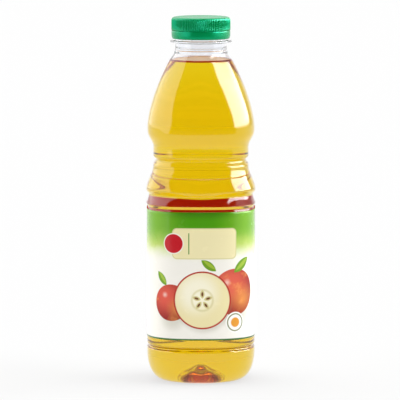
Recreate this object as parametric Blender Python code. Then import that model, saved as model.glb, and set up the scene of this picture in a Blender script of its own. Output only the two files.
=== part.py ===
# A one-litre clear PET juice bottle: rounded-square body, shut with a ribbed screw cap
# and its tamper band, filled to the shoulder, with a wrap-round label.
# Frame: +Z up, origin on the floor at the middle of the base, the label's front faces -Y.
import math

import bmesh
import bpy
from mathutils import Vector

MM = 0.001                      # sizes below are in millimetres

# Body of the bottle, as half-widths across the flats and heights above the floor
SEGMENTS = 36                   # straight sides round the bottle, the same on every piece
WALL = 0.5
FIT_GAP = 0.3                   # left between pieces that touch
STANDING_RING = 24.6            # outer edge of the flat ring the bottle stands on
STANDING_RING_WIDTH = 4.6
HEEL_HEIGHT = 21.6
HEEL_ROUNDNESS = 2.3            # 2 is an ellipse, more is fuller
BASE_HALF_WIDTH = 38.2
PUSH_UP = (                     # radius and height down the dome in the middle of the base
    (18.6, 0.6),
    (15.4, 6.0),
    (11.8, 8.6),
    (7.0, 9.9),
    (3.6, 11.5),
    (0.0, 12.2),
)
PUSH_UP_PETALS = 6
PETAL_DEPTH = 0.7
WAIST_HALF_WIDTH = 33.8
SHOULDER_HALF_WIDTH = 38.0
LOWER_HALF_WIDTH = 38.8
RIDGE_HALF_WIDTH = 38.8         # the upper of the two ridges that keep the label in its panel
PANEL_HALF_WIDTH = 37.9
RIDGE_STEP = 0.7                # height of a ridge's sloped side

# Heights of the body's stations
SHOULDER_TOP = 231.4
SHOULDER_BREAK = 227.2
SHOULDER_WIDEST = 180.4
SHOULDER_BAND = 2.5             # height of the straight part at the widest place
WAIST_TOP = 166.2
WAIST_GROOVE = 157.5
WAIST_BOTTOM = 152.8
FLARE_BOTTOM = 135.4
UPPER_GROOVE = 132.4
UPPER_RIDGE = (124.9, 127.1)
LOWER_RIDGE = (27.2, 30.9)
BASE_GROOVE = 23.9

# Depth of each groove, and how far its upper and its lower lip are from its bottom
WAIST_GROOVE_SIZE = (2.0, 2.8, 4.2)
UPPER_GROOVE_SIZE = (1.1, 1.4, 3.4)
BASE_GROOVE_SIZE = (1.1, 1.5, 2.1)
LIP_STEP = 0.3                  # a ridge or lip stands this far in from the full width

# Neck and support ring
NECK_RADIUS = 18.3
NECK_BORE = 16.5
NECK_FOOT = 234.6
NECK_BEAD = 18.9
SUPPORT_RING_RADIUS = 21.7
SUPPORT_RING = (239.7, 241.4)
MOUTH_HEIGHT = 255.2
BREAK_RADIUS = 22.3             # half-width where the shoulder's cone turns into its curve
SHOULDER_POWER = 1.57

# How square the body is: 2 is round, more is squarer
NECK_SQUARENESS = 2.0
BODY_SQUARENESS = 2.9
LABEL_FOOT_SQUARENESS = 2.65
BASE_SQUARENESS = 2.25

# Contents, label and closure
FILL_LEVEL = 227.0
LABEL_THICKNESS = 0.3
LABEL = (32.1, 122.8)
CAP_RADIUS = 20.9
CAP_INSIDE = 19.4
CAP_TOP = 257.8
CAP_FOOT = 248.8
CAP_CORNER = 2.0
CAP_TOP_THICKNESS = 1.7
CAP_RIBS = 96
RIB_DEPTH = 0.35
BAND_RADIUS = 20.8
BAND_TAPER = 0.5
BAND = (242.5, 248.4)

COLOURS = {
    "bottle": ((0.86, 0.88, 0.90), 0.08),
    "juice": ((0.80, 0.46, 0.02), 0.10),
    "label": ((0.88, 0.90, 0.86), 0.30),
    "cap": ((0.010, 0.270, 0.085), 0.42),
    "tamper_band": ((0.010, 0.250, 0.075), 0.42),
}


def smooth(t):
    """Eased step from 0 to 1."""
    t = min(max(t, 0.0), 1.0)
    return t * t * (3.0 - 2.0 * t)


def blend(low, high, t):
    return low + (high - low) * t


def squareness(height):
    """Exponent of the body's section at a height in millimetres."""
    if height >= SHOULDER_WIDEST:
        t = (SHOULDER_TOP - height) / (SHOULDER_TOP - SHOULDER_WIDEST)
        return blend(NECK_SQUARENESS, BODY_SQUARENESS, smooth(t))
    if height >= LABEL[1]:
        return BODY_SQUARENESS
    if height >= LABEL[0]:
        t = (LABEL[1] - height) / (LABEL[1] - LABEL[0])
        return blend(BODY_SQUARENESS, LABEL_FOOT_SQUARENESS, t)
    return blend(BASE_SQUARENESS, LABEL_FOOT_SQUARENESS, height / LABEL[0])


def eased(start, end, steps):
    """Points of an S-shaped change of half-width, start left out."""
    points = []
    for i in range(1, steps + 1):
        t = i / steps
        points.append((blend(start[0], end[0], smooth(t)), blend(start[1], end[1], t)))
    return points


def groove(half_width, height, size):
    """A V-shaped groove: a point at each lip and one at the bottom."""
    depth, above, below = size
    return [
        (half_width, height + above),
        (half_width - depth, height),
        (half_width, height - below),
    ]


def shoulder():
    """Short cone, then a curve that flattens towards the widest height."""
    points = [(NECK_BEAD + LIP_STEP, SHOULDER_TOP), (BREAK_RADIUS, SHOULDER_BREAK)]
    steps = 7
    for i in range(1, steps + 1):
        t = i / steps
        half_width = blend(BREAK_RADIUS, SHOULDER_HALF_WIDTH, 1.0 - (1.0 - t) ** SHOULDER_POWER)
        points.append((half_width, blend(SHOULDER_BREAK, SHOULDER_WIDEST, t)))
    return points


def heel():
    """The rounded foot, from the base's full width in to the standing ring."""
    points = []
    steps = 7
    for i in range(steps + 1):
        angle = math.pi / 2 * i / steps
        inward = 1.0 - math.cos(angle) ** (2.0 / HEEL_ROUNDNESS)
        downward = math.sin(angle) ** (2.0 / HEEL_ROUNDNESS)
        half_width = blend(BASE_HALF_WIDTH, STANDING_RING, inward)
        points.append((half_width, HEEL_HEIGHT * (1.0 - downward)))
    return points


def body_profile():
    """Outside of the body from the top of the shoulder down to the middle of the base."""
    points = shoulder()
    belly = (SHOULDER_HALF_WIDTH, SHOULDER_WIDEST - SHOULDER_BAND)
    points += eased(belly, (WAIST_HALF_WIDTH, WAIST_TOP), 4)
    points += groove(WAIST_HALF_WIDTH, WAIST_GROOVE, WAIST_GROOVE_SIZE)
    points += eased((WAIST_HALF_WIDTH, WAIST_BOTTOM), (LOWER_HALF_WIDTH, FLARE_BOTTOM), 5)
    points += groove(LOWER_HALF_WIDTH - LIP_STEP, UPPER_GROOVE, UPPER_GROOVE_SIZE)
    points += [
        (RIDGE_HALF_WIDTH - LIP_STEP, UPPER_RIDGE[1] + RIDGE_STEP),
        (RIDGE_HALF_WIDTH, UPPER_RIDGE[1]),
        (RIDGE_HALF_WIDTH, UPPER_RIDGE[0]),
        (PANEL_HALF_WIDTH, UPPER_RIDGE[0] - RIDGE_STEP),
        (PANEL_HALF_WIDTH, LOWER_RIDGE[1] + RIDGE_STEP),
        (BASE_HALF_WIDTH, LOWER_RIDGE[1]),
        (BASE_HALF_WIDTH, LOWER_RIDGE[0]),
    ]
    points += groove(BASE_HALF_WIDTH, BASE_GROOVE, BASE_GROOVE_SIZE)
    points += heel()
    points.append((STANDING_RING - STANDING_RING_WIDTH, 0.0))
    return points + list(PUSH_UP)


def inset(profile, distance):
    """The profile moved inwards by a wall's thickness, its end on the axis moved straight up."""
    moved = []
    for i, point in enumerate(profile):
        here = Vector(point)
        normals = []
        if i > 0:
            along = (here - Vector(profile[i - 1])).normalized()
            normals.append(Vector((along.y, -along.x)))
        if i < len(profile) - 1:
            along = (Vector(profile[i + 1]) - here).normalized()
            normals.append(Vector((along.y, -along.x)))
        if point[0] < 1e-6:
            normals = [Vector((0.0, 1.0))]
        mitre = sum(normals, Vector((0.0, 0.0)))
        mitre = mitre / mitre.dot(normals[0])
        moved.append(tuple(here + mitre * distance))
    return moved


def turned(name, profile, closed):
    """A solid turned round Z from (radius, height) points in millimetres, then squared up."""
    mesh = bmesh.new()
    points = [mesh.verts.new((radius * MM, 0.0, height * MM)) for radius, height in profile]
    edges = [mesh.edges.new(pair) for pair in zip(points, points[1:])]
    if closed:
        edges.append(mesh.edges.new((points[-1], points[0])))
    bmesh.ops.spin(
        mesh,
        geom=points + edges,
        cent=(0.0, 0.0, 0.0),
        axis=(0.0, 0.0, 1.0),
        angle=2.0 * math.pi,
        steps=SEGMENTS,
        use_merge=True,
    )
    bmesh.ops.remove_doubles(mesh, verts=mesh.verts, dist=0.00001)
    bmesh.ops.recalc_face_normals(mesh, faces=mesh.faces)
    for vertex in mesh.verts:
        vertex.co = body_shape(vertex.co)
    return finished(name, mesh)


def body_shape(place):
    """Moves a point of a turned shape onto the rounded-square section and the petalled base."""
    radius = math.hypot(place.x, place.y)
    if radius < 1e-7:
        return place
    height = place.z / MM
    power = squareness(height)
    across, along = abs(place.x) / radius, abs(place.y) / radius
    reach = (across ** power + along ** power) ** (-1.0 / power)
    lift = 0.0
    if height < PUSH_UP[-1][1] + 4.0:
        inward = min(radius / (PUSH_UP[0][0] * MM), 1.0)
        turn = PUSH_UP_PETALS * (math.atan2(place.y, place.x) + math.pi / 2.0)
        lift = -PETAL_DEPTH * MM * math.sin(math.pi * inward) ** 2 * math.cos(turn)
        reach = blend(1.0, reach, inward)
    return Vector((place.x * reach, place.y * reach, place.z + lift))


def finished(name, mesh):
    """Makes the object, shades its round faces smooth and gives it its own material."""
    data = bpy.data.meshes.new(name)
    mesh.to_mesh(data)
    mesh.free()
    data.shade_smooth()
    data.set_sharp_from_angle(angle=math.radians(32.0))
    part = bpy.data.objects.new(name, data)
    bpy.data.collections["juice_bottle"].objects.link(part)
    colour, roughness = COLOURS[name]
    material = bpy.data.materials.new(name)
    material.use_nodes = True
    shader = material.node_tree.nodes["Principled BSDF"]
    shader.inputs["Base Color"].default_value = (*colour, 1.0)
    shader.inputs["Roughness"].default_value = roughness
    data.materials.append(material)
    return part


def make_bottle():
    """Outside from the mouth to the base, then back up the inside: one open-mouthed shell."""
    low, high = SUPPORT_RING
    outside = [
        (NECK_RADIUS, MOUTH_HEIGHT),
        (NECK_RADIUS, high),
        (SUPPORT_RING_RADIUS, high - 0.2),
        (SUPPORT_RING_RADIUS, low + 0.3),
        (NECK_RADIUS, low),
        (NECK_RADIUS, NECK_FOOT),
        (NECK_BEAD, NECK_FOOT - 0.6),
        (NECK_BEAD, SHOULDER_TOP + 0.8),
    ]
    body = body_profile()
    inside = [(NECK_BORE, MOUTH_HEIGHT), (NECK_BORE, low - 3.0)] + inset(body, WALL)
    return turned("bottle", (outside + body)[::-1] + inside, closed=False)


def make_juice():
    """The drink, up to its level, a gap short of the wall all round."""
    hollow = inset(body_profile(), WALL + FIT_GAP)
    dry = [point for point in hollow[:4] if point[1] > FILL_LEVEL][-1]
    wet = hollow[hollow.index(dry) + 1:]
    t = (dry[1] - FILL_LEVEL) / (dry[1] - wet[0][1])
    rim = (blend(dry[0], wet[0][0], t), FILL_LEVEL)
    return turned("juice", [(0.0, FILL_LEVEL), rim] + wet, closed=False)


def make_label():
    """A sleeve in the panel between the two ridges."""
    low, high = LABEL
    inner = PANEL_HALF_WIDTH + FIT_GAP
    outer = inner + LABEL_THICKNESS
    return turned("label", [(outer, high), (outer, low), (inner, low), (inner, high)], closed=True)


def make_band():
    low, high = BAND
    profile = [
        (BAND_RADIUS, high),
        (BAND_RADIUS, low + 2.0),
        (BAND_RADIUS - BAND_TAPER, low),
        (CAP_INSIDE, low),
        (CAP_INSIDE, high),
    ]
    return turned("tamper_band", profile, closed=True)


def make_cap():
    """A turned cup whose outer wall is drawn in at every second side to leave the ribs."""
    mesh = bmesh.new()
    inside_top = CAP_TOP - CAP_TOP_THICKNESS
    levels = [
        (0.0, CAP_TOP),
        (CAP_RADIUS - CAP_CORNER, CAP_TOP),
        (CAP_RADIUS - 0.4 * CAP_CORNER, CAP_TOP - 0.3 * CAP_CORNER),
        (CAP_RADIUS, CAP_TOP - CAP_CORNER),
        (CAP_RADIUS, CAP_FOOT),
        (CAP_INSIDE, CAP_FOOT),
        (CAP_INSIDE, inside_top),
        (0.0, inside_top),
    ]
    points = [mesh.verts.new((radius * MM, 0.0, height * MM)) for radius, height in levels]
    edges = [mesh.edges.new(pair) for pair in zip(points, points[1:])]
    bmesh.ops.spin(
        mesh,
        geom=points + edges,
        cent=(0.0, 0.0, 0.0),
        axis=(0.0, 0.0, 1.0),
        angle=2.0 * math.pi,
        steps=2 * CAP_RIBS,
        use_merge=True,
    )
    bmesh.ops.remove_doubles(mesh, verts=mesh.verts, dist=0.00001)
    bmesh.ops.recalc_face_normals(mesh, faces=mesh.faces)
    valley = (CAP_RADIUS - RIB_DEPTH) / CAP_RADIUS
    for vertex in mesh.verts:
        radius = math.hypot(vertex.co.x, vertex.co.y)
        side = round(math.atan2(vertex.co.y, vertex.co.x) / math.pi * CAP_RIBS)
        if radius > (CAP_RADIUS - 0.1) * MM and side % 2:
            vertex.co.x *= valley
            vertex.co.y *= valley
    return finished("cap", mesh)


def main():
    for thing in list(bpy.data.objects):
        bpy.data.objects.remove(thing, do_unlink=True)
    collection = bpy.data.collections.new("juice_bottle")
    bpy.context.scene.collection.children.link(collection)
    root = bpy.data.objects.new("juice_bottle_frame", None)
    collection.objects.link(root)
    for piece in (make_bottle(), make_juice(), make_label(), make_band(), make_cap()):
        piece.parent = root


main()
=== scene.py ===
import math

import bmesh
import bpy
import numpy as np
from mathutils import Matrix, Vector, noise


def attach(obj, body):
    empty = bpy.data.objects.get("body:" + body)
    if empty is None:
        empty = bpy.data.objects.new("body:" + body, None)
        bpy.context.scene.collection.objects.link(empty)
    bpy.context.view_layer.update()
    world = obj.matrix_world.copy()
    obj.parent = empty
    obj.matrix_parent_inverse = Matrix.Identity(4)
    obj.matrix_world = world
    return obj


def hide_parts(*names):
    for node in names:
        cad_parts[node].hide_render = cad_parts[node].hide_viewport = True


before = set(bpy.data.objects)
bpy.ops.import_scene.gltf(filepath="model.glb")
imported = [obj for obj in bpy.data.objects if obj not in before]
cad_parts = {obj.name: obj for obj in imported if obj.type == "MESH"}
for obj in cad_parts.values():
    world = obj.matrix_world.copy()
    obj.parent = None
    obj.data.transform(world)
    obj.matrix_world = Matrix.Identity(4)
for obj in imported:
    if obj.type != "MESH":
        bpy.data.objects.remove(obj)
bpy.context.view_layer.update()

mm = 0.001
frontTurn = -math.pi / 2


# Small helpers for numbers and curves


def blend(low, high, t):
    return low + (high - low) * t


def smooth(t):
    t = min(max(t, 0.0), 1.0)
    return t * t * (3.0 - 2.0 * t)


def bell(distance, width):
    return math.exp(-(distance / width) ** 2)


def eased(start, end, steps=40):
    # S-shaped change of half-width between two heights, start left out
    points = []
    for i in range(1, steps + 1):
        t = i / steps
        points.append((blend(start[0], end[0], smooth(t)), blend(start[1], end[1], t)))
    return points


def rounded(points, radius, step=0.15):
    # Resamples a (radius, height) line evenly and softens its corners
    line = np.array(points, float)
    length = np.concatenate([[0.0], np.cumsum(np.hypot(*np.diff(line, axis=0).T))])
    count = int(length[-1] / step) + 1
    at = np.linspace(0.0, length[-1], count)
    even = np.stack([np.interp(at, length, line[:, 0]), np.interp(at, length, line[:, 1])], 1)
    reach = int(3.0 * radius / step) + 1
    weights = np.exp(-0.5 * (np.arange(-reach, reach + 1) * step / radius) ** 2)
    weights /= weights.sum()
    soft = np.empty_like(even)
    for axis in (0, 1):
        padded = np.pad(even[:, axis], reach, mode="reflect", reflect_type="odd")
        soft[:, axis] = np.convolve(padded, weights, mode="valid")
    return soft


def offsetLine(line, distance):
    # The line moved to its inner side by a distance
    along = np.gradient(line, axis=0)
    along /= np.hypot(along[:, 0], along[:, 1])[:, None]
    return line + distance * np.stack([along[:, 1], -along[:, 0]], 1)


def thinned(line, tolerance=0.006, longest=4.0, fine=None):
    # Drops points that a straight line between their neighbours already gives
    kept = [0]
    last = len(line) - 1
    while kept[-1] < last:
        start = kept[-1]
        end = start + 1
        while end < last:
            chord = line[end + 1] - line[start]
            span = math.hypot(*chord)
            limit = longest
            if fine and fine[0] < line[end][1] < fine[1]:
                limit = fine[2]
            if span > limit:
                break
            between = line[start + 1:end + 1] - line[start]
            off = np.abs(between[:, 0] * chord[1] - between[:, 1] * chord[0]) / span
            if off.max() > tolerance:
                break
            end += 1
        kept.append(end)
    return [tuple(line[i]) for i in kept]


# Materials are built from nodes by these


def hexColour(code):
    # sRGB hex to linear
    parts = [int(code[i:i + 2], 16) / 255.0 for i in (0, 2, 4)]
    linear = [c / 12.92 if c <= 0.04045 else ((c + 0.055) / 1.055) ** 2.4 for c in parts]
    return (*linear, 1.0)


def addNode(tree, kind, inputs=None, **settings):
    made = tree.nodes.new(kind)
    for name, value in settings.items():
        setattr(made, name, value)
    for name, value in (inputs or {}).items():
        if isinstance(value, bpy.types.NodeSocket):
            tree.links.new(value, made.inputs[name])
        else:
            made.inputs[name].default_value = value
    return made


def calc(tree, operation, a, b=0.0, c=0.0):
    made = addNode(tree, "ShaderNodeMath", {0: a, 1: b, 2: c}, operation=operation)
    return made.outputs[0]


def both(tree, a, b):
    # The product: where two masks meet, or one mask made weaker
    return calc(tree, "MULTIPLY", a, b)


def without(tree, a, b):
    return both(tree, a, calc(tree, "SUBTRACT", 1.0, b))


def ramp(tree, value, low, high, fromValue=0.0, toValue=1.0):
    # Eased change between two values of the input
    made = addNode(
        tree,
        "ShaderNodeMapRange",
        {"Value": value, "From Min": low, "From Max": high, "To Min": fromValue, "To Max": toValue},
        interpolation_type="SMOOTHSTEP",
    )
    return made.outputs["Result"]


def layer(tree, below, above, mask):
    made = addNode(tree, "ShaderNodeMix", {0: mask, 6: below, 7: above}, data_type="RGBA")
    return made.outputs[2]


def newMaterial(name):
    material = bpy.data.materials.new(name)
    material.use_nodes = True
    tree = material.node_tree
    return material, tree, tree.nodes["Principled BSDF"]


def setInputs(shader, values):
    for name, value in values.items():
        shader.inputs[name].default_value = value


def addBump(tree, shader, height, distance, strength=1.0):
    made = addNode(
        tree, "ShaderNodeBump", {"Strength": strength, "Distance": distance, "Height": height}
    )
    tree.links.new(made.outputs["Normal"], shader.inputs["Normal"])


# Meshes become finished pieces by these


def finishPiece(name, mesh, materials, replaced, crease=None):
    data = bpy.data.meshes.new(name)
    mesh.to_mesh(data)
    mesh.free()
    data.shade_smooth()
    if crease:
        data.set_sharp_from_angle(angle=math.radians(crease))
    piece = bpy.data.objects.new(name, data)
    bpy.context.scene.collection.objects.link(piece)
    for material in materials:
        data.materials.append(material)
    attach(piece, "root")
    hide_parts(replaced)
    return piece


def turnedMesh(profile, segments):
    mesh = bmesh.new()
    points = [mesh.verts.new((max(radius, 0.0) * mm, 0.0, height * mm)) for radius, height in profile]
    edges = [mesh.edges.new(pair) for pair in zip(points, points[1:])]
    bmesh.ops.spin(
        mesh,
        geom=points + edges,
        cent=(0.0, 0.0, 0.0),
        axis=(0.0, 0.0, 1.0),
        angle=2.0 * math.pi,
        steps=segments,
        use_merge=True,
    )
    bmesh.ops.remove_doubles(mesh, verts=mesh.verts, dist=0.000002)
    bmesh.ops.recalc_face_normals(mesh, faces=mesh.faces)
    return mesh


# The bottle's form, in millimetres, shared by the wall, the juice and the label.
# A corner of its outline is (half-width, height).
form = {
    "segments": 144,
    "curveSteps": 60,
    "wall": 0.45,
    "softness": 0.5,
    "mouth": 255.2,
    "neckRadius": 18.3,
    "neckBore": 16.5,
    "supportRing": (239.7, 241.4, 21.7),  # foot, top, radius
    "throatFoot": 237.0,
    "neckBead": 18.9,
    "beadTop": 234.0,
    "neckFoot": 19.2,
    "shoulderTop": 231.4,
    "breakPoint": (22.3, 227.2),
    "belly": (38.0, 180.4),
    "bellyBand": 2.5,
    "shoulderPower": 1.57,  # more is fuller
    "waistTop": (33.8, 166.2),
    "waistGroove": (157.5, 2.1, 2.4, 4.0),  # height, depth, reach above and below
    "waistBottom": (33.8, 152.8),
    "crease": {"height": 145.8, "sideRise": 3.0, "depth": 0.30, "width": 0.32},
    "creaseZone": (140.0, 155.0),
    "fineZone": (143.5, 151.0, 0.3),  # from, to, longest step between rings
    "flareBottom": (38.8, 135.4),
    "upperGroove": (133.2, 1.4, 1.3, 6.0),  # as for the waist's groove
    "roundedBy": 0.55,  # taken off the squareness in the upper groove
    "roundedFrom": (127.1, 133.2),
    "roundedTo": (134.5, 137.0),
    "ridge": 38.78,
    "ridgeLip": (0.48, 0.55),  # inward, upward
    "ridgeSoftness": 0.22,
    "crispZone": (123.6, 128.2),  # heights where the ridge's softness holds
    "upperRidge": (124.5, 126.6),
    "recess": 37.5,
    "recessSlope": (0.1, 0.9),  # outward, downward
    "label": (32.1, 122.8),  # foot and top
    "underLabel": 0.5,  # how far the panel starts below the label's top
    "panel": 37.9,
    "lowerRidge": (27.2, 32.5),
    "lowerSlope": 1.0,
    "baseGroove": (24.8, 1.6, 2.2, 1.3),
    "base": 38.2,
    "heelHeight": 21.6,
    "heelRoundness": 2.3,  # exponent of its curve
    "standingRing": 24.6,
    "ringWidth": 4.6,
    "dome": (
        (18.6, 0.6), (17.2, 3.4), (15.4, 6.0), (13.2, 7.9), (10.8, 9.0),
        (8.2, 9.6), (6.0, 10.3), (4.0, 11.3), (2.0, 12.0), (0.0, 12.2),
    ),
    "overDome": 4.0,  # the base's own section starts this far above the dome
    "lowestCore": 30.0,  # faces near the base are inner ones if they look at this height
    "petals": 6,
    "petalDepth": 0.35,
    "squareness": {"neck": 2.0, "body": 2.9, "labelFoot": 2.65, "foot": 2.25},  # 2 is round
    "plasticIndex": 1.575,
    "ripple": {"size": 22.0, "stretch": 0.35, "depth": 0.25},
}

# The juice's level and looks: the wall needs them too, for its wetted side
juiceLook = {
    "level": 227.5,
    "meniscus": 0.45,
    "meniscusWidth": 0.9,
    "intoWall": 0.1,
    "surfaceRings": 25,
    "surfaceDepth": 1.2,  # how far down a face may lie and still be the top
    "index": 1.35,
    "density": 95.0,
    "absorption": (0.983, 0.918, 0.0, 1.0),
    "bubbles": 0.6,  # share of the top that is opaque
    "bubbleEdge": (20.4, 21.2),  # radii where the bubbles end
    "bubbleGlow": 0.36,
}
waterLine = juiceLook["level"] + juiceLook["meniscus"]


def roundedCorners(height):
    # The upper groove is rounder than the body, so it is deeper at the corners
    low, bottom = form["roundedFrom"]
    top, high = form["roundedTo"]
    if low < height < bottom:
        return form["roundedBy"] * math.cos(math.pi / 2 * (bottom - height) / (bottom - low))
    if bottom <= height < high:
        return form["roundedBy"] * smooth((high - height) / (high - top))
    return 0.0


def squareness(height):
    # Exponent of the section: 2 is round, more is squarer
    power = form["squareness"]
    if height >= form["belly"][1]:
        t = (form["shoulderTop"] - height) / (form["shoulderTop"] - form["belly"][1])
        return blend(power["neck"], power["body"], smooth(t))
    low, high = form["label"]
    if height >= high:
        return power["body"] - roundedCorners(height)
    if height >= low:
        return blend(power["labelFoot"], power["body"], (height - low) / (high - low))
    return blend(power["foot"], power["labelFoot"], max(height, 0.0) / low)


def reachAt(angle, height):
    power = squareness(height)
    return (abs(math.cos(angle)) ** power + abs(math.sin(angle)) ** power) ** (-1.0 / power)


def grooved(halfWidth, height, depth, above, below, steepFoot=False):
    # A round-bottomed groove with soft lips, or with a lower side that steepens to its end
    points = []
    steps = 16
    for i in range(steps + 1):
        t = blend(1.0, -1.0, i / steps)
        share = 0.5 + 0.5 * math.cos(math.pi * t)
        if steepFoot and t < 0.0:
            share = math.cos(math.pi / 2 * t)
        width = halfWidth - depth * share
        points.append((width, height + t * (above if t > 0.0 else below)))
    return points


def shoulderLine():
    # Neck's foot, the break below it and the full curve down to the belly
    breakWidth, breakHeight = form["breakPoint"]
    belly, bellyHeight = form["belly"]
    points = [(form["neckFoot"], form["shoulderTop"]), form["breakPoint"]]
    for i in range(1, form["curveSteps"] + 1):
        t = i / form["curveSteps"]
        width = blend(breakWidth, belly, 1.0 - (1.0 - t) ** form["shoulderPower"])
        points.append((width, blend(breakHeight, bellyHeight, t)))
    return points


def heelLine():
    # A superellipse from the base's side in to the ring that it stands on
    points = []
    for i in range(form["curveSteps"] + 1):
        angle = math.pi / 2 * i / form["curveSteps"]
        inward = 1.0 - math.cos(angle) ** (2.0 / form["heelRoundness"])
        downward = math.sin(angle) ** (2.0 / form["heelRoundness"])
        width = blend(form["base"], form["standingRing"], inward)
        points.append((width, form["heelHeight"] * (1.0 - downward)))
    return points


def bodyLine():
    # Outside of the bottle from the neck's foot to the middle of the base
    belly, bellyHeight = form["belly"]
    ridge, recess, panel, base = form["ridge"], form["recess"], form["panel"], form["base"]
    upperFoot, upperTop = form["upperRidge"]
    lowerFoot, lowerTop = form["lowerRidge"]
    lipIn, lipUp = form["ridgeLip"]
    slopeOut, slopeDown = form["recessSlope"]
    points = shoulderLine()
    points += eased((belly, bellyHeight - form["bellyBand"]), form["waistTop"])
    points += grooved(form["waistTop"][0], *form["waistGroove"])
    points += eased(form["waistBottom"], form["flareBottom"])
    points += grooved(ridge - lipIn, *form["upperGroove"], steepFoot=True)
    # The ridge has a sharp lip, below which the wall steps in to a narrow recess over the label
    points += [
        (ridge - lipIn, upperTop + lipUp),
        (ridge, upperTop),
        (recess, upperFoot),
        (recess + slopeOut, upperFoot - slopeDown),
        (panel, form["label"][1] - form["underLabel"]),
        (panel, lowerTop + form["lowerSlope"]),
        (base, lowerTop),
        (base, lowerFoot),
    ]
    points += grooved(base, *form["baseGroove"])
    points += heelLine()
    points.append((form["standingRing"] - form["ringWidth"], 0.0))
    return points + list(form["dome"])


def squareUp(mesh):
    # Gives turned verts the rounded-square section, the petalled base and the mould's crease
    crease = form["crease"]
    creaseLow, creaseHigh = form["creaseZone"]
    domeWidth, domeTop = form["dome"][0][0], form["dome"][-1][1]
    for vertex in mesh.verts:
        x, y, z = vertex.co
        radius = math.hypot(x, y)
        if radius < 1e-7:
            continue
        angle = math.atan2(y, x)
        height = z / mm
        reach = reachAt(angle, height)
        lift = 0.0
        if height < domeTop + form["overDome"]:
            inward = min(radius / (domeWidth * mm), 1.0)
            turn = form["petals"] * (angle - frontTurn)
            lift = -form["petalDepth"] * mm * math.sin(math.pi * inward) ** 2 * math.cos(turn)
            reach = blend(1.0, reach, inward)
        if creaseLow < height < creaseHigh:
            side = abs(math.sin(angle - frontTurn))
            middle = crease["height"] + crease["sideRise"] * side ** 3
            reach *= 1.0 - crease["depth"] * mm * bell(height - middle, crease["width"]) / radius
        vertex.co = (x * reach, y * reach, z + lift)


outsideLine = rounded(bodyLine(), form["softness"])
# The ridge over the label is crisper than the rest
crispLine = rounded(bodyLine(), form["ridgeSoftness"])
crispLow, crispHigh = form["crispZone"]
crisp = (outsideLine[:, 1] > crispLow) & (outsideLine[:, 1] < crispHigh)
outsideLine[crisp] = crispLine[crisp]
outsideLine[-1, 0] = 0.0


# Bottle wall: clear PET


def clearPlastic(name, index):
    # Glossy blow-moulded PET, with faint ripples left by the mould
    material, tree, shader = newMaterial(name)
    setInputs(shader, {
        "Base Color": hexColour("fbfcff"),
        "Roughness": 0.02,
        "IOR": index,
        "Transmission Weight": 1.0,
    })
    ripple = form["ripple"]
    place = addNode(tree, "ShaderNodeTexCoord").outputs["Object"]
    stretched = addNode(
        tree, "ShaderNodeMapping", {"Vector": place, "Scale": (1.0, 1.0, ripple["stretch"])}
    )
    waves = addNode(
        tree,
        "ShaderNodeTexNoise",
        {"Vector": stretched.outputs["Vector"], "Scale": 1.0 / (ripple["size"] * mm), "Detail": 1.0},
    )
    addBump(tree, shader, waves.outputs["Fac"], ripple["depth"] * mm)
    return material


def neckLine():
    # Outside of the neck, from the lip over the support ring to the shoulder
    neck, bore, mouth = form["neckRadius"], form["neckBore"], form["mouth"]
    ringLow, ringHigh, ringRadius = form["supportRing"]
    bead, beadTop = form["neckBead"], form["beadTop"]
    return rounded([
        (bore, mouth - 1.2),
        (bore + 0.4, mouth),
        (neck - 0.4, mouth),
        (neck, mouth - 1.0),
        (neck, ringHigh),
        (ringRadius, ringHigh - 0.2),
        (ringRadius, ringLow + 0.3),
        (neck, ringLow),
        (neck, beadTop + 0.6),
        (bead, beadTop),
        (bead, form["shoulderTop"] + 0.8),
        (form["neckFoot"], form["shoulderTop"]),
    ], radius=0.16, step=0.06)


def markWetSide(mesh):
    # Faces that look in below the juice's level get the second skin
    mesh.normal_update()
    for face in mesh.faces:
        centre = face.calc_center_median()
        core = Vector((0.0, 0.0, max(centre.z, form["lowestCore"] * mm)))
        facesIn = face.normal.dot(centre - core) < 0.0
        if facesIn and centre.z < waterLine * mm:
            face.material_index = 1


def makeBottle():
    fine = form["fineZone"]
    inside = offsetLine(outsideLine, form["wall"])
    inside[-1, 0] = 0.0
    throat = rounded([
        (form["neckBore"], form["mouth"] - 1.2),
        (form["neckBore"], form["throatFoot"]),
        tuple(inside[0]),
        tuple(inside[1]),
    ], radius=0.8)
    outer = thinned(neckLine()) + thinned(outsideLine, fine=fine)[1:]
    # One ring of the inner wall lies at the juice's edge
    shore = int(np.argmax(inside[:, 1] <= waterLine))
    inner = thinned(throat)[1:-1] + thinned(inside[:shore + 1])
    inner += thinned(inside[shore:], fine=fine)[1:]
    mesh = turnedMesh(outer[::-1] + inner, form["segments"])
    squareUp(mesh)
    markWetSide(mesh)
    # Where the juice wets the wall, the step in index is only that from juice to plastic
    skins = [
        clearPlastic("clearPetPlastic", form["plasticIndex"]),
        clearPlastic("clearPetWetSide", form["plasticIndex"] / juiceLook["index"]),
    ]
    return finishPiece("bottleWall", mesh, skins, "bottle", crease=50.0)


bottle = makeBottle()
print("bottle wall", len(bottle.data.polygons))


# Juice, reaching just into the wall so that no air shows between them


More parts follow.
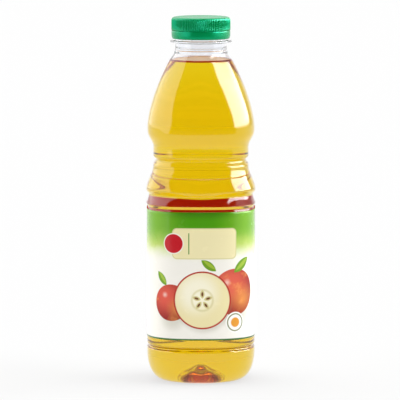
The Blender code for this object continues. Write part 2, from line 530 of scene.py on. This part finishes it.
def addBubbles(tree, shader):
    # Fine pale bubbles on the juice's top, with a clear margin at the wall
    low, high = (radius * mm for radius in juiceLook["bubbleEdge"])
    place = addNode(tree, "ShaderNodeTexCoord").outputs["Object"]
    flat = addNode(
        tree, "ShaderNodeVectorMath", {0: place, 1: (1.0, 1.0, 0.0)}, operation="MULTIPLY"
    )
    fromAxis = addNode(
        tree, "ShaderNodeVectorMath", {0: flat.outputs["Vector"]}, operation="LENGTH"
    ).outputs["Value"]
    clear = ramp(tree, fromAxis, low, high, 1.0 - juiceLook["bubbles"], 1.0)
    tree.links.new(clear, shader.inputs["Transmission Weight"])
    # The glow is light that reaches the bubbles through the walls
    glow = ramp(tree, fromAxis, low, high, juiceLook["bubbleGlow"], 0.0)
    tree.links.new(glow, shader.inputs["Emission Strength"])
    setInputs(shader, {
        "Base Color": hexColour("f6cc94"),
        "Emission Color": hexColour("ffcf8c"),
        "Specular IOR Level": 0.0,
    })


def clearJuice(name, index, bubbles=False):
    # Filtered fruit juice: clear, with only amber absorption
    material, tree, shader = newMaterial(name)
    setInputs(shader, {
        "Base Color": (1.0, 1.0, 1.0, 1.0),
        "Roughness": 0.0,
        "IOR": index,
        "Transmission Weight": 1.0,
    })
    if bubbles:
        addBubbles(tree, shader)
    volume = addNode(
        tree,
        "ShaderNodeVolumeAbsorption",
        {"Color": juiceLook["absorption"], "Density": juiceLook["density"]},
    )
    tree.links.new(volume.outputs["Volume"], tree.nodes["Material Output"].inputs["Volume"])
    return material


def makeJuice():
    hollow = offsetLine(outsideLine, form["wall"] - juiceLook["intoWall"])
    hollow[-1, 0] = 0.0
    first = int(np.argmax(hollow[:, 1] <= waterLine))
    wet = thinned(hollow[first:], fine=form["fineZone"])
    rim = wet[0][0]
    surface = []
    for i in range(juiceLook["surfaceRings"]):
        radius = rim * (i / juiceLook["surfaceRings"]) ** 0.6
        climb = math.exp(-(rim - radius) / juiceLook["meniscusWidth"])
        surface.append((radius, juiceLook["level"] + juiceLook["meniscus"] * climb))
    mesh = turnedMesh(surface + wet, form["segments"])
    squareUp(mesh)
    lowest = (waterLine - juiceLook["surfaceDepth"]) * mm
    for face in mesh.faces:
        if face.calc_center_median().z < lowest or face.normal.z < 0.3:
            face.material_index = 1
    # The side lies inside the wall and only bounds the colour, so it bends no light
    skins = [
        clearJuice("amberJuiceSurface", juiceLook["index"], bubbles=True),
        clearJuice("amberJuiceSide", 1.0),
    ]
    return finishPiece("juiceBody", mesh, skins, "juice")


juice = makeJuice()
print("juice", len(juice.data.polygons))


# Label: a glossy film sleeve with a generic printed design

# Places in the design are millimetres across from the front's middle and up from the film's foot
labelLook = {
    "radius": 38.42,
    "thickness": 0.12,
    "flare": 0.12,
    "flareHeight": 3.0,
    "overlap": 6.0,
    "lapRise": 0.14,
    "lapWidth": 4.0,
    "crinkle": {"depth": 0.05, "across": 0.06, "up": 0.03},
    "seamTurn": math.radians(128.0),  # from the front, round by the right
    "measuredAt": 80.0,  # height where the way round is measured
    "columns": 240,
    "rows": 60,
    "mottleSize": 8.333,
    "waveSize": 22.22,
    "waveDepth": 0.6,
    "roughness": (0.20, 0.28),
    "paintedRedHeights": (88.0, 104.0),  # heights between which the back turns to the painted red
    "backGlow": (0.30, 0.24),  # below and above those
    "design": {
        "middle": (34.0, 6.0),  # across, where the darker green starts and is full
        "paintedTopShade": (84.0, 91.0),  # up, where the painted shade, the darkest green, starts and is full
        "fade": (52.0, 84.0),  # up, from white to green
        "fadeWave": 5.0,
        "panel": (2.5, 68.5),
        "panelEdge": (46.0, 22.0, 3.5),  # width, height, corner
        "panelFill": (44.6, 20.6, 2.9),
        "panelRule": (-8.5, 68.5, 0.7, 15.0, 0.3),  # place, width, height, corner
        "dot": (-19.5, 68.5, 6.7),  # place and radius
        "dotEdge": 0.7,
        "fruits": (  # place, radius, then the shaded, lit and warm inks
            (24.5, 34.0, 16.5, "9a1a12", "e2604a", "f0a04a"),
            (-21.5, 26.5, 13.0, "94160f", "dc5440", "ee9a48"),
        ),
        "leaves": (  # place, length, width and turn
            (5.5, 53.0, 13.0, 5.4, 2.5),
            (30.0, 53.0, 16.0, 6.4, 0.7),
            (-28.5, 43.5, 12.0, 5.0, 2.2),
        ),
        "slice": (1.0, 28.5, 20.5),  # place and radius
        "skin": 1.1,
        "heart": (8.0, 6.8),  # radii of the faint ring
        "seeds": 5,
        "seedRing": 4.3,
        "chamber": (6.2, 3.1),  # length and width
        "seed": (3.6, 1.5),
        "badge": (25.0, 12.5),
        "badgeRadii": (7.4, 6.4, 5.5, 3.4),  # disc, ring outside and inside, dot
        "backPanel": (38.0, 54.0, 46.0, 3.0),  # up, width, height, corner
        "backRules": (46.0, 42.0, 45.0, 30.0, 44.0, 46.0, 24.0),  # lengths from the top down
        "topRule": 55.0,
        "ruleStep": 5.5,
        "ruleWidth": 1.1,
        "footLine": (1.3, 0.9),
    },
}
design = labelLook["design"]


def sectionTable(height):
    # Arc length round the label's section against angle, from the front
    angles = np.linspace(0.0, 2.0 * math.pi, 1441)
    reach = np.array([reachAt(a + frontTurn, height) for a in angles]) * labelLook["radius"]
    x, y = reach * np.cos(angles), reach * np.sin(angles)
    arc = np.concatenate([[0.0], np.cumsum(np.hypot(np.diff(x), np.diff(y)))])
    return angles, arc


sectionAngles, sectionArc = sectionTable(labelLook["measuredAt"])
girth = float(sectionArc[-1])
sheetWidth = girth + labelLook["overlap"]
seamArc = float(np.interp(labelLook["seamTurn"], sectionAngles, sectionArc))
labelLow, labelHigh = form["label"]
labelHeight = labelHigh - labelLow


def flatSheet(tree):
    # Places on the flat film in millimetres, and a soft mottle over it
    uv = addNode(tree, "ShaderNodeUVMap").outputs["UV"]
    flat = addNode(tree, "ShaderNodeSeparateXYZ", {"Vector": uv})
    across = calc(tree, "MULTIPLY_ADD", flat.outputs["X"], sheetWidth, seamArc - girth)
    up = calc(tree, "MULTIPLY", flat.outputs["Y"], labelHeight)
    point = addNode(tree, "ShaderNodeCombineXYZ", {"X": across, "Y": up}).outputs["Vector"]
    mottle = addNode(
        tree,
        "ShaderNodeTexNoise",
        {"Vector": point, "Scale": 1.0 / labelLook["mottleSize"], "Detail": 3.0},
    ).outputs["Fac"]
    return {"tree": tree, "across": across, "up": up, "point": point, "mottle": mottle}


def away(sheet, x, y):
    made = addNode(
        sheet["tree"],
        "ShaderNodeVectorMath",
        {0: sheet["point"], 1: (x, y, 0.0)},
        operation="DISTANCE",
    )
    return made.outputs["Value"]


def disc(sheet, x, y, radius, soft=0.15):
    return ramp(sheet["tree"], away(sheet, x, y), radius + soft, radius - soft)


def leaf(sheet, x, y, length, width, turn):
    # Two discs whose overlap is a pointed leaf
    radius = (length * length / 4.0 + width * width / 4.0) / width
    side = radius - width / 2.0
    dx, dy = side * math.sin(turn), -side * math.cos(turn)
    return both(
        sheet["tree"], disc(sheet, x + dx, y + dy, radius), disc(sheet, x - dx, y - dy, radius)
    )


def bar(sheet, x, y, width, height, corner, soft=0.12):
    # A rectangle with round corners
    tree = sheet["tree"]
    dx = calc(tree, "ABSOLUTE", calc(tree, "SUBTRACT", sheet["across"], x))
    dy = calc(tree, "ABSOLUTE", calc(tree, "SUBTRACT", sheet["up"], y))
    dx = calc(tree, "MAXIMUM", calc(tree, "SUBTRACT", dx, width / 2.0 - corner), 0.0)
    dy = calc(tree, "MAXIMUM", calc(tree, "SUBTRACT", dy, height / 2.0 - corner), 0.0)
    length = calc(tree, "SQRT", calc(tree, "ADD", both(tree, dx, dx), both(tree, dy, dy)))
    return ramp(tree, length, corner + soft, corner - soft)


def ink(sheet, below, code, mask, strength=None):
    # One flat ink over what is printed already
    if strength:
        mask = both(sheet["tree"], mask, strength)
    return layer(sheet["tree"], below, hexColour(code), mask)


def printGround(sheet):
    # Green at the top, fading to white, darker in the middle, with painted shade along the top edge
    tree, up = sheet["tree"], sheet["up"]
    middle = ramp(tree, calc(tree, "ABSOLUTE", sheet["across"]), *design["middle"])
    green = layer(tree, hexColour("74b020"), hexColour("4a9a02"), middle)
    # Painted shade: the darkest green along the film's top edge
    green = ink(sheet, green, "3c7a02", both(tree, ramp(tree, up, *design["paintedTopShade"]), middle))
    wave = design["fadeWave"]
    wavy = calc(tree, "MULTIPLY_ADD", sheet["mottle"], wave, -wave / 2.0)
    fade = ramp(tree, calc(tree, "ADD", up, wavy), *design["fade"])
    colour = layer(tree, hexColour("f6f3ea"), hexColour("c2d66a"), ramp(tree, fade, 0.0, 0.55))
    return layer(tree, colour, green, ramp(tree, fade, 0.3, 1.0))


def printPanel(sheet, colour):
    # Cream panel with a thin green line, and a plain red dot beside it
    colour = ink(sheet, colour, "dcd49a", bar(sheet, *design["panel"], *design["panelEdge"]))
    colour = ink(sheet, colour, "f0e6b4", bar(sheet, *design["panel"], *design["panelFill"]))
    colour = ink(sheet, colour, "3d8a1c", bar(sheet, *design["panelRule"]))
    x, y, radius = design["dot"]
    colour = ink(sheet, colour, "f3f0e4", disc(sheet, x, y, radius + design["dotEdge"]))
    return ink(sheet, colour, "c31422", disc(sheet, x, y, radius))


def printFruit(sheet, colour, x, y, radius, deep, bright, warm):
    # A round fruit with a lit side, a warm cheek, fine streaks and a soft shade below it
    tree = sheet["tree"]
    shade = disc(sheet, x + 1.0, y - radius * 0.82, radius * 0.62, radius * 0.34)
    colour = ink(sheet, colour, "8f8a62", shade, 0.30)
    lit = ramp(tree, away(sheet, x - radius * 0.30, y + radius * 0.34), radius * 1.35, radius * 0.15)
    body = layer(tree, hexColour(deep), hexColour(bright), lit)
    cheek = disc(sheet, x + radius * 0.42, y - radius * 0.30, radius * 0.35, radius * 0.5)
    body = ink(sheet, body, warm, cheek, 0.75)
    body = ink(sheet, body, warm, ramp(tree, sheet["mottle"], 0.52, 0.68, 0.0, 0.35))
    glint = disc(sheet, x - radius * 0.36, y + radius * 0.42, radius * 0.06, radius * 0.16)
    body = ink(sheet, body, "fff3e6", glint, 0.8)
    return layer(tree, colour, body, disc(sheet, x, y, radius))


def printLeaf(sheet, colour, x, y, length, width, turn):
    # A leaf with a paler streak along it
    colour = ink(sheet, colour, "6f9e1e", leaf(sheet, x, y, length, width, turn))
    streak = leaf(sheet, x + 0.5, y + 0.5, length * 0.86, width * 0.42, turn)
    return ink(sheet, colour, "a9c43c", streak, 0.8)


def printSlice(sheet, colour):
    # A round cross-cut slice: thin skin, pale flesh, a faint ring and seeds in their chambers
    tree = sheet["tree"]
    x, y, radius = design["slice"]
    shade = disc(sheet, x + 1.2, y - 3.4, 19.0, 3.0)
    colour = ink(sheet, colour, "8f8a62", shade, 0.35)
    colour = ink(sheet, colour, "b32416", disc(sheet, x, y, radius))
    lit = ramp(tree, away(sheet, x - 3.5, y + 5.0), 20.0, 6.0)
    flesh = layer(tree, hexColour("efe3ae"), hexColour("fbf6dc"), lit)
    colour = layer(tree, colour, flesh, disc(sheet, x, y, radius - design["skin"], 0.35))
    outer, inner = (disc(sheet, x, y, size, 0.9) for size in design["heart"])
    colour = ink(sheet, colour, "c9bd6a", without(tree, outer, inner), 0.55)
    for i in range(design["seeds"]):
        turn = math.pi / 2.0 + 2.0 * math.pi * i / design["seeds"]
        seedX = x + design["seedRing"] * math.cos(turn)
        seedY = y + design["seedRing"] * math.sin(turn)
        colour = ink(sheet, colour, "d8cc8c", leaf(sheet, seedX, seedY, *design["chamber"], turn))
        colour = ink(sheet, colour, "6b3a16", leaf(sheet, seedX, seedY, *design["seed"], turn))
    return colour


def printBack(sheet, colour):
    # On the back, a cream panel with plain green rules that start at one edge
    back = -girth / 2.0
    colour = ink(sheet, colour, "efe8c4", bar(sheet, back, *design["backPanel"]))
    longest = max(design["backRules"])
    for i, width in enumerate(design["backRules"]):
        x = back - (longest - width) / 2.0
        y = design["topRule"] - design["ruleStep"] * i
        colour = ink(sheet, colour, "7f9a4e", bar(sheet, x, y, width, design["ruleWidth"], 0.3))
    return colour


def printBadge(sheet, colour):
    # A plain white disc with a grey-green ring and an orange dot
    x, y = design["badge"]
    edge, ringOut, ringIn, dot = design["badgeRadii"]
    colour = ink(sheet, colour, "fbfaf4", disc(sheet, x, y, edge))
    ring = without(sheet["tree"], disc(sheet, x, y, ringOut), disc(sheet, x, y, ringIn))
    colour = ink(sheet, colour, "8a8f6a", ring)
    return ink(sheet, colour, "e59a2c", disc(sheet, x, y, dot, 0.4))


def printedFilm():
    # Gloss-laminated film: flat inks under a clear coat, and slight waves that bend its highlights
    material, tree, shader = newMaterial("glossPrintedFilm")
    sheet = flatSheet(tree)
    colour = printPanel(sheet, printGround(sheet))
    # Two whole fruits behind the slice, with leaves between them
    for fruit in design["fruits"]:
        colour = printFruit(sheet, colour, *fruit)
    for blade in design["leaves"]:
        colour = printLeaf(sheet, colour, *blade)
    colour = printSlice(sheet, colour)
    colour = printBack(sheet, colour)
    colour = printBadge(sheet, colour)
    colour = ink(sheet, colour, "2f6d2a", ramp(tree, sheet["up"], *design["footLine"]))
    tree.links.new(colour, shader.inputs["Base Color"])
    rough = ramp(tree, sheet["mottle"], 0.3, 0.7, *labelLook["roughness"])
    tree.links.new(rough, shader.inputs["Roughness"])
    setInputs(shader, {"Coat Weight": 0.3, "Coat Roughness": 0.06, "Specular IOR Level": 0.25})
    waves = addNode(
        tree,
        "ShaderNodeTexNoise",
        {
            "Vector": sheet["point"],
            "Scale": 1.0 / labelLook["waveSize"],
            "Detail": 2.0,
            "Roughness": 0.4,
        },
    )
    addBump(tree, shader, waves.outputs["Fac"], labelLook["waveDepth"] * mm, 0.6)
    return material


def filmBack():
    # The film's inner side, seen through the juice: painted deep red above, in place of the colour
    # that light takes on its long way through the juice, and cream below
    material, tree, shader = newMaterial("filmBackPaintedRed")
    low, high = (height * mm for height in labelLook["paintedRedHeights"])
    place = addNode(tree, "ShaderNodeTexCoord").outputs["Object"]
    mottle = addNode(
        tree, "ShaderNodeTexNoise", {"Vector": place, "Scale": 1.0 / (9.0 * mm), "Detail": 2.0}
    )
    # Painted colour: this deep red stands in for light that has crossed a long way through the juice
    red = layer(tree, hexColour("f83010"), hexColour("fa4418"), mottle.outputs["Fac"])
    height = addNode(tree, "ShaderNodeSeparateXYZ", {"Vector": place}).outputs["Z"]
    tone = layer(tree, hexColour("f4e2bc"), red, ramp(tree, height, low, high))
    tree.links.new(tone, shader.inputs["Base Color"])
    # Light that comes through the thin film from outside
    glow = ramp(tree, height, low, high, *labelLook["backGlow"])
    tree.links.new(tone, shader.inputs["Emission Color"])
    tree.links.new(glow, shader.inputs["Emission Strength"])
    setInputs(shader, {"Roughness": 0.45})
    return material


def makeLabel():
    mesh = bmesh.new()
    mesh.loops.layers.uv.new("UVMap")
    bmesh.ops.create_grid(
        mesh,
        x_segments=labelLook["columns"],
        y_segments=labelLook["rows"],
        size=0.5,
        calc_uvs=True,
    )
    crinkle = labelLook["crinkle"]
    for vertex in mesh.verts:
        u, v = vertex.co.x + 0.5, vertex.co.y + 0.5
        arc = seamArc - girth + u * sheetWidth
        angle = float(np.interp(arc % girth, sectionArc, sectionAngles)) + frontTurn
        height = labelLow + v * labelHeight
        lapped = smooth((arc - seamArc) / labelLook["lapWidth"] + 0.5)
        flare = smooth(1.0 - (labelHigh - height) / labelLook["flareHeight"])
        wave = 0.6 + 0.4 * math.sin(3.0 * angle + 0.8)
        radius = labelLook["radius"] + labelLook["lapRise"] * lapped
        radius += labelLook["flare"] * flare ** 2 * wave
        spot = Vector((arc * crinkle["across"], height * crinkle["up"], 4.0))
        radius += crinkle["depth"] * noise.noise(spot)
        radius *= reachAt(angle, height) * mm
        vertex.co = (radius * math.cos(angle), radius * math.sin(angle), height * mm)
    piece = finishPiece("labelSleeve", mesh, [printedFilm(), filmBack()], "label")
    film = piece.modifiers.new("filmThickness", "SOLIDIFY")
    film.thickness = labelLook["thickness"] * mm
    film.offset = -1.0
    film.material_offset = 1
    return piece


label = makeLabel()
print("label", len(label.data.polygons))


# Cap and tamper band: green moulded polypropylene

capLook = {
    "radius": 20.9,
    "inside": 19.4,
    "top": 257.8,
    "foot": 248.6,
    "topThickness": 1.7,
    "topDish": 0.25,
    "ribs": 96,
    "ribDepth": 0.45,
    "ribbedWidth": 1.2,
    "ribRoundness": 0.8,
    "ribFade": {"side": 0.9, "top": (0.7, 1.1), "foot": (0.15, 0.5)},  # ends: start, length
    "sidesPerRib": 6,
}


def greenPlastic():
    # Satin green polypropylene with a fine spark-eroded grain and faint flow marks
    # The grain is drawn coarser than the real one, so that it shows
    material, tree, shader = newMaterial("satinGreenPolypropylene")
    place = addNode(tree, "ShaderNodeTexCoord").outputs["Object"]
    flow = addNode(
        tree, "ShaderNodeTexNoise", {"Vector": place, "Scale": 1.0 / (12.0 * mm), "Detail": 2.0}
    )
    tone = layer(tree, hexColour("008242"), hexColour("00904c"), flow.outputs["Fac"])
    tree.links.new(tone, shader.inputs["Base Color"])
    setInputs(shader, {
        "Roughness": 0.27,
        "IOR": 1.6,
        "Specular IOR Level": 1.0,
        "Specular Tint": (0.04, 1.0, 0.7, 1.0),
        "Subsurface Weight": 0.12,
        "Subsurface Radius": (0.2, 1.0, 0.5),
        "Subsurface Scale": 0.8 * mm,
    })
    grain = addNode(
        tree, "ShaderNodeTexNoise", {"Vector": place, "Scale": 1.0 / (0.5 * mm), "Detail": 2.0}
    )
    addBump(tree, shader, grain.outputs["Fac"], 0.03 * mm, 0.5)
    return material


capPlastic = greenPlastic()


def cutRibs(mesh):
    # Rounded valleys between the ribs, which fade out at the top's edge and at the foot
    start = capLook["radius"] - capLook["ribbedWidth"]
    fade = capLook["ribFade"]
    topStart, topLength = fade["top"]
    footStart, footLength = fade["foot"]
    for vertex in mesh.verts:
        x, y, z = vertex.co
        distance = math.hypot(x, y) / mm
        if distance < start:
            continue
        height = z / mm
        held = smooth((distance - start) / fade["side"])
        held *= smooth((capLook["top"] - topStart - height) / topLength)
        held *= smooth((height - capLook["foot"] - footStart) / footLength)
        turn = capLook["ribs"] * math.atan2(y, x)
        valley = (0.5 - 0.5 * math.cos(turn)) ** capLook["ribRoundness"]
        scale = 1.0 - capLook["ribDepth"] * held * valley / distance
        vertex.co = (x * scale, y * scale, z)


def makeCap():
    radius, top = capLook["radius"], capLook["top"]
    inside, foot = capLook["inside"], capLook["foot"]
    ceiling = top - capLook["topThickness"]
    line = rounded([
        (0.0, top - capLook["topDish"]),
        (radius - 4.6, top - capLook["topDish"]),
        (radius - 3.6, top),
        (radius - 1.9, top),
        (radius - 0.7, top - 0.55),
        (radius, top - 1.9),
        (radius, foot),
        (inside + 0.3, foot),
        (inside, foot + 0.5),
        (inside, ceiling - 0.4),
        (inside - 0.8, ceiling),
        (0.0, ceiling),
    ], radius=0.14, step=0.05)
    line[0, 0] = 0.0
    line[-1, 0] = 0.0
    line = thinned(line, tolerance=0.01, longest=3.0)
    mesh = turnedMesh(line, capLook["ribs"] * capLook["sidesPerRib"])
    cutRibs(mesh)
    return finishPiece("screwCap", mesh, [capPlastic], "cap", crease=55.0)


bandLook = {
    "radius": 20.8,
    "inside": 19.4,
    "foot": 242.5,
    "top": 248.4,
    "taper": 0.5,
    "segments": 240,
    "bridges": 16,
    "bridgeSize": (0.8, 1.1),  # deep and wide
}


def addBridges(mesh):
    # Small bridges from the band's top up to the cap
    top, ceiling = bandLook["top"], capLook["foot"]
    gap = ceiling - top
    deep, wide = bandLook["bridgeSize"]
    for i in range(bandLook["bridges"]):
        angle = 2.0 * math.pi * (i + 0.5) / bandLook["bridges"]
        bridge = bmesh.ops.create_cube(mesh, size=1.0)["verts"]
        for vertex in bridge:
            depth = (bandLook["radius"] - 0.75 + vertex.co.x * deep) * mm
            side = vertex.co.y * wide * mm
            height = (top + gap / 2.0 + vertex.co.z * (gap + 0.3)) * mm
            x = depth * math.cos(angle) - side * math.sin(angle)
            y = depth * math.sin(angle) + side * math.cos(angle)
            vertex.co = (x, y, min(height, ceiling * mm))


def makeBand():
    foot, top = bandLook["foot"], bandLook["top"]
    radius, inside, taper = bandLook["radius"], bandLook["inside"], bandLook["taper"]
    line = rounded([
        (inside + 0.3, top),
        (radius - 0.2, top),
        (radius, top - 0.3),
        (radius, foot + 2.0),
        (radius - taper, foot + 0.2),
        (radius - taper - 0.4, foot),
        (inside, foot),
        (inside, top - 0.3),
        (inside + 0.3, top),
    ], radius=0.1, step=0.05)
    line[-1] = line[0]
    line = thinned(line, tolerance=0.01, longest=2.0)
    mesh = turnedMesh(line, bandLook["segments"])
    addBridges(mesh)
    return finishPiece("tamperBand", mesh, [capPlastic], "tamper_band", crease=50.0)


cap = makeCap()
band = makeBand()
print("cap and band", len(cap.data.polygons), len(band.data.polygons))


# Plain floor, soft light and camera

# Turns are degrees from the camera's side, positive to the right, and lifts are degrees up.
# A soft pair is the half-width of an area's edge in turn and in lift.
studio = {
    "pale": 1.0,
    "dark": {"turn": 58.0, "lean": 0.64, "lift": (-17.0, 68.0), "soft": (2.0, 2.0)},
    "darkGlow": {"lit": 0.45, "mirrored": 0.02, "through": 0.22},
    "left": {"turn": (41.0, 150.0), "lift": (-32.0, 72.0), "soft": (2.0, 6.0)},  # to the left
    "leftBow": (0.022, 10.0),  # degrees inward for each squared degree from this lift
    "leftGlow": 2.0,
    "right": {"turn": (54.0, 130.0), "lift": (5.0, 58.0), "soft": (5.0, 4.0)},
    "rightTop": {"lift": 58.0, "fall": 0.42, "fromTurn": 50.0, "soft": 4.0},  # fall for each degree
    "rightGlow": {"lit": 3.5, "mirrored": 10.5},
    "flag": {"turn": (122.0, 150.0), "lift": (-25.0, 40.0), "soft": (4.0, 10.0)},
    "flagGlow": 0.45,
    "overhead": (72.0, 80.0),  # lifts where it starts and is full
    "overheadGlow": 4.0,
    "floorColour": (0.2, 0.2, 0.2, 1.0),
    "floorGlow": 0.67,
    "tableFront": -0.62,  # metres, as the next and the camera's place
    "floorReach": 9.0,
    "lens": 396.0,
    "sensor": 36.0,
    "cameraPlace": (-0.00064, -3.1069, 0.4541),
    "lookDown": 6.0,
    "clearBounces": 48,
    "glossyBounces": 24,
}


def makeFloor(name, nearY, farY, material):
    mesh = bmesh.new()
    bmesh.ops.create_grid(mesh, x_segments=1, y_segments=1, size=1.0)
    for vertex in mesh.verts:
        vertex.co.x *= studio["floorReach"]
        vertex.co.y = farY if vertex.co.y > 0.0 else nearY
    data = bpy.data.meshes.new(name)
    mesh.to_mesh(data)
    mesh.free()
    floor = bpy.data.objects.new(name, data)
    bpy.context.scene.collection.objects.link(floor)
    data.materials.append(material)
    return floor


def makeGround():
    # Matt white paper, lit evenly; the part in front of the table's edge isn't mirrored
    material, _, shader = newMaterial("mattWhiteFloor")
    setInputs(shader, {
        "Base Color": studio["floorColour"],
        "Roughness": 1.0,
        "Specular IOR Level": 0.0,
        "Emission Color": (1.0, 1.0, 1.0, 1.0),
        "Emission Strength": studio["floorGlow"],
    })
    material.cycles.emission_sampling = "NONE"
    makeFloor("floorTable", studio["tableFront"], studio["floorReach"], material)
    front = makeFloor("floorFront", -studio["floorReach"], studio["tableFront"], material)
    front.visible_glossy = False


def makeWorld():
    # A soft studio: pale all round, two tall softboxes, and a dark side behind the camera
    world = bpy.data.worlds.new("softStudio")
    bpy.context.scene.world = world
    world.use_nodes = True
    tree = world.node_tree
    shade = tree.nodes["Background"]
    shade.inputs["Color"].default_value = (1.0, 1.0, 1.0, 1.0)
    way = addNode(tree, "ShaderNodeTexCoord").outputs["Generated"]
    parts = addNode(tree, "ShaderNodeSeparateXYZ", {"Vector": way})
    x, y, z = (parts.outputs[axis] for axis in "XYZ")
    degrees = 180.0 / math.pi
    turn = calc(tree, "MULTIPLY", calc(tree, "ARCTAN2", x, calc(tree, "MULTIPLY", y, -1.0)), degrees)
    lift = calc(tree, "MULTIPLY", calc(tree, "ARCSINE", z), degrees)
    path = addNode(tree, "ShaderNodeLightPath")
    through, mirrored = path.outputs["Is Transmission Ray"], path.outputs["Is Glossy Ray"]

    def within(value, low, high, soft):
        rising = ramp(tree, value, low - soft, low + soft)
        falling = ramp(tree, value, high + soft, high - soft)
        return both(tree, rising, falling)

    def patch(turned, area):
        turnSoft, liftSoft = area["soft"]
        turnMask = within(turned, *area["turn"], turnSoft)
        return both(tree, turnMask, within(lift, *area["lift"], liftSoft))

    def mixed(below, value, mask):
        made = addNode(tree, "ShaderNodeMix", {0: mask, 2: below, 3: value}, data_type="FLOAT")
        return made.outputs[0]

    # The dark side widens with height
    area = studio["dark"]
    turnSoft, liftSoft = area["soft"]
    lean = calc(tree, "MULTIPLY", calc(tree, "MAXIMUM", lift, 0.0), area["lean"])
    leaning = calc(tree, "SUBTRACT", calc(tree, "ABSOLUTE", turn), lean)
    facing = ramp(tree, leaning, area["turn"] + turnSoft, area["turn"] - turnSoft)
    dark = both(tree, facing, within(lift, *area["lift"], liftSoft))

    # The left softbox has a bowed front edge
    bow, bowLift = studio["leftBow"]
    off = calc(tree, "SUBTRACT", lift, bowLift)
    leftTurn = calc(tree, "MULTIPLY", turn, -1.0)
    left = patch(calc(tree, "MULTIPLY_ADD", both(tree, off, off), -bow, leftTurn), studio["left"])
    right = patch(turn, studio["right"])
    flag = patch(turn, studio["flag"])

    # The softboxes show on the outside of the bottle, not through the juice
    flag, left, right = (without(tree, mask, through) for mask in (flag, left, right))

    # In reflections the right softbox's top edge comes down towards the back
    edge = studio["rightTop"]
    past = calc(tree, "SUBTRACT", turn, edge["fromTurn"])
    level = calc(tree, "MULTIPLY_ADD", past, edge["fall"], lift)
    over = ramp(tree, level, edge["lift"] - edge["soft"], edge["lift"] + edge["soft"])
    right = without(tree, right, both(tree, over, mirrored))

    glow = studio["darkGlow"]
    darkGlow = mixed(mixed(glow["lit"], glow["mirrored"], mirrored), glow["through"], through)
    rightGlow = mixed(studio["rightGlow"]["lit"], studio["rightGlow"]["mirrored"], mirrored)
    strength = mixed(studio["pale"], darkGlow, dark)
    strength = mixed(strength, studio["overheadGlow"], ramp(tree, lift, *studio["overhead"]))
    strength = mixed(strength, studio["flagGlow"], flag)
    strength = mixed(strength, studio["leftGlow"], left)
    strength = mixed(strength, rightGlow, right)
    strength = mixed(strength, studio["pale"], path.outputs["Is Camera Ray"])
    tree.links.new(strength, shade.inputs["Strength"])


def makeCamera():
    camera = bpy.data.cameras.new("photoCamera")
    camera.lens = studio["lens"]
    camera.sensor_width = studio["sensor"]
    camera.clip_end = 60.0
    holder = bpy.data.objects.new("photoCamera", camera)
    holder.location = studio["cameraPlace"]
    holder.rotation_euler = (math.radians(90.0 - studio["lookDown"]), 0.0, 0.0)
    bpy.context.scene.collection.objects.link(holder)
    bpy.context.scene.camera = holder


def setRender():
    # Light passes many walls of the bottle and its juice before it leaves
    scene = bpy.context.scene
    scene.view_settings.view_transform = "Standard"
    scene.cycles.max_bounces = studio["clearBounces"]
    scene.cycles.transmission_bounces = studio["clearBounces"]
    scene.cycles.glossy_bounces = studio["glossyBounces"]


makeGround()
makeWorld()
makeCamera()
setRender()
print("floor, light and camera")
